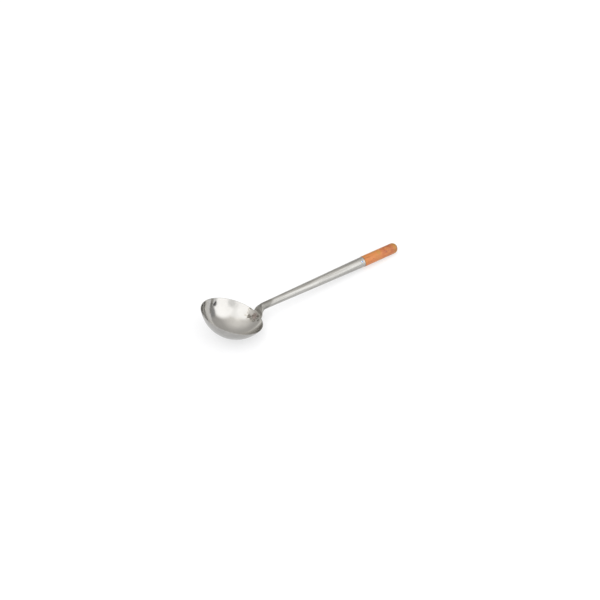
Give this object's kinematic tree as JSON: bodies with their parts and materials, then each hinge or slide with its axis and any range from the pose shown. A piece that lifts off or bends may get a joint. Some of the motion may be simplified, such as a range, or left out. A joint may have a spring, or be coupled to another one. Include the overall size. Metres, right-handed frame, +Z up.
{
  "type": "ladle",
  "caption": "Wok ladle: a round polished steel bowl, a tapered steel tube handle welded outside its rim and a wooden grip, for scooping and pouring liquids.",
  "frame": {"origin": "middle of the footprint on the surface that the ladle lies on, on its plane of symmetry", "axes": "+X from the bowl towards the grip's end, +Y across the handle, +Z up, with the bowl and the grip's end resting at z = 0"},
  "size_m": [0.4693, 0.1264, 0.073],
  "materials": {
    "bowl_steel": "mirror-polished stainless sheet",
    "tube_steel": "polished rolled stainless sheet",
    "grip_wood": "turned wood, orange-brown clear lacquer",
    "nail_steel": "bright round-headed nail"
  },
  "bodies": {
    "root": {"bowl": "bowl_steel", "handle_tube": "tube_steel", "grip": "grip_wood", "grip_nail": "nail_steel"}
  },
  "joints": []
}
